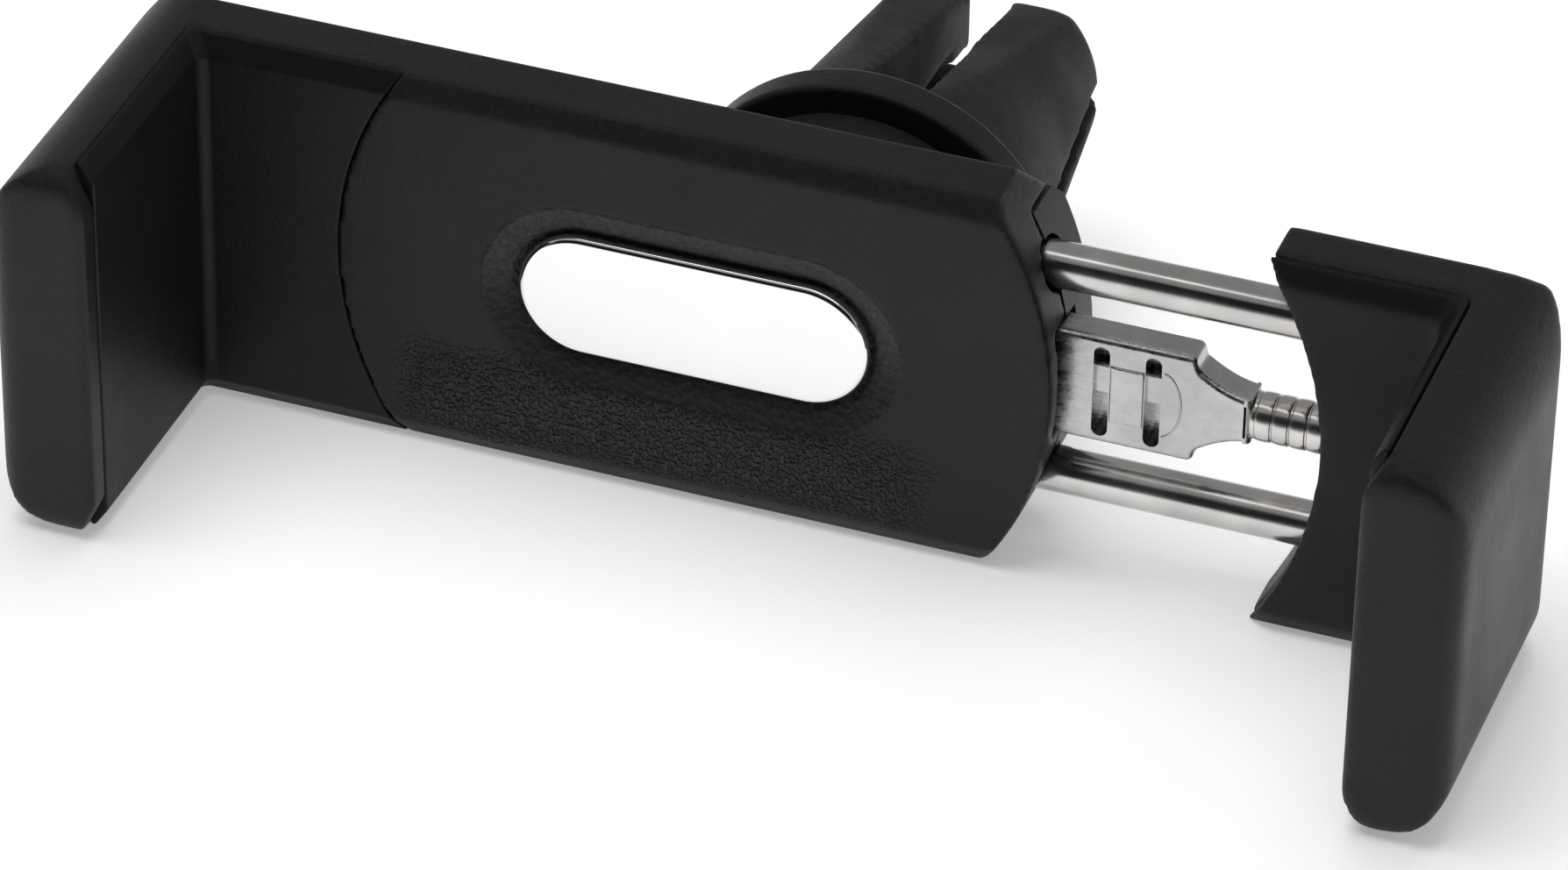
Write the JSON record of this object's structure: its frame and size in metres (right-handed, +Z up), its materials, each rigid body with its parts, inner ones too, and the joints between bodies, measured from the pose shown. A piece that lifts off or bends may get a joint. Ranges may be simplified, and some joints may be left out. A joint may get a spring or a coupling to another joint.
{
  "type": "phone holder",
  "caption": "Phone holder for an air vent: padded fixed and sliding jaws on guide rods, oval plate on the face, swivelling four-prong wedge clip behind.",
  "frame": {"origin": "on the long lower edge the holder stands on, in the plane of the phone face, straight under the vent clip's axis", "axes": "+X along the holder from the fixed to the moving jaw, +Y from the phone face back to the vent, +Z up"},
  "size_m": [0.0943, 0.0543, 0.027],
  "materials": {
    "housing_plastic": "matte",
    "soft_lining": "matte",
    "mirror_chrome": "polished",
    "bright_rod": "polished",
    "zinc_sheet": "satin",
    "bushing_brass": "satin",
    "spring_steel": "satin",
    "black_steel": "satin",
    "collar_plastic": "satin",
    "ring_plastic": "satin",
    "clip_rubber": "matte"
  },
  "bodies": {
    "cradle": {"front_housing": "housing_plastic", "rear_cover": "housing_plastic", "fixed_jaw_pad": "soft_lining", "badge_plate": "mirror_chrome", "rod_bushing_upper": "bushing_brass", "rod_bushing_lower": "bushing_brass", "drag_spring": "spring_steel", "housing_screws": "black_steel", "pivot_insert": "bushing_brass", "friction_ring": "ring_plastic", "clip_screw": "black_steel", "clip_washer": "spring_steel"},
    "moving_jaw": {"moving_jaw_shell": "housing_plastic", "moving_jaw_cover": "housing_plastic", "moving_jaw_pad": "soft_lining", "guide_rod_upper": "bright_rod", "guide_rod_lower": "bright_rod", "rod_stop_clips": "spring_steel", "draw_link": "zinc_sheet", "link_stud": "bright_rod", "jaw_cover_screws": "black_steel"},
    "vent_clip": {"clip_collar": "collar_plastic", "clip_core": "collar_plastic", "vent_grip": "clip_rubber"}
  },
  "joints": [
    {"name": "jaw_slide", "type": "slide", "parent": "cradle", "child": "moving_jaw", "axis": [1, 0, 0], "range_m": [-0.0168, 0.003]},
    {"name": "clip_swivel", "type": "hinge", "parent": "cradle", "child": "vent_clip", "pos_m": [0, 0.012, 0.0135], "axis": [0, 1, 0], "continuous": true}
  ]
}
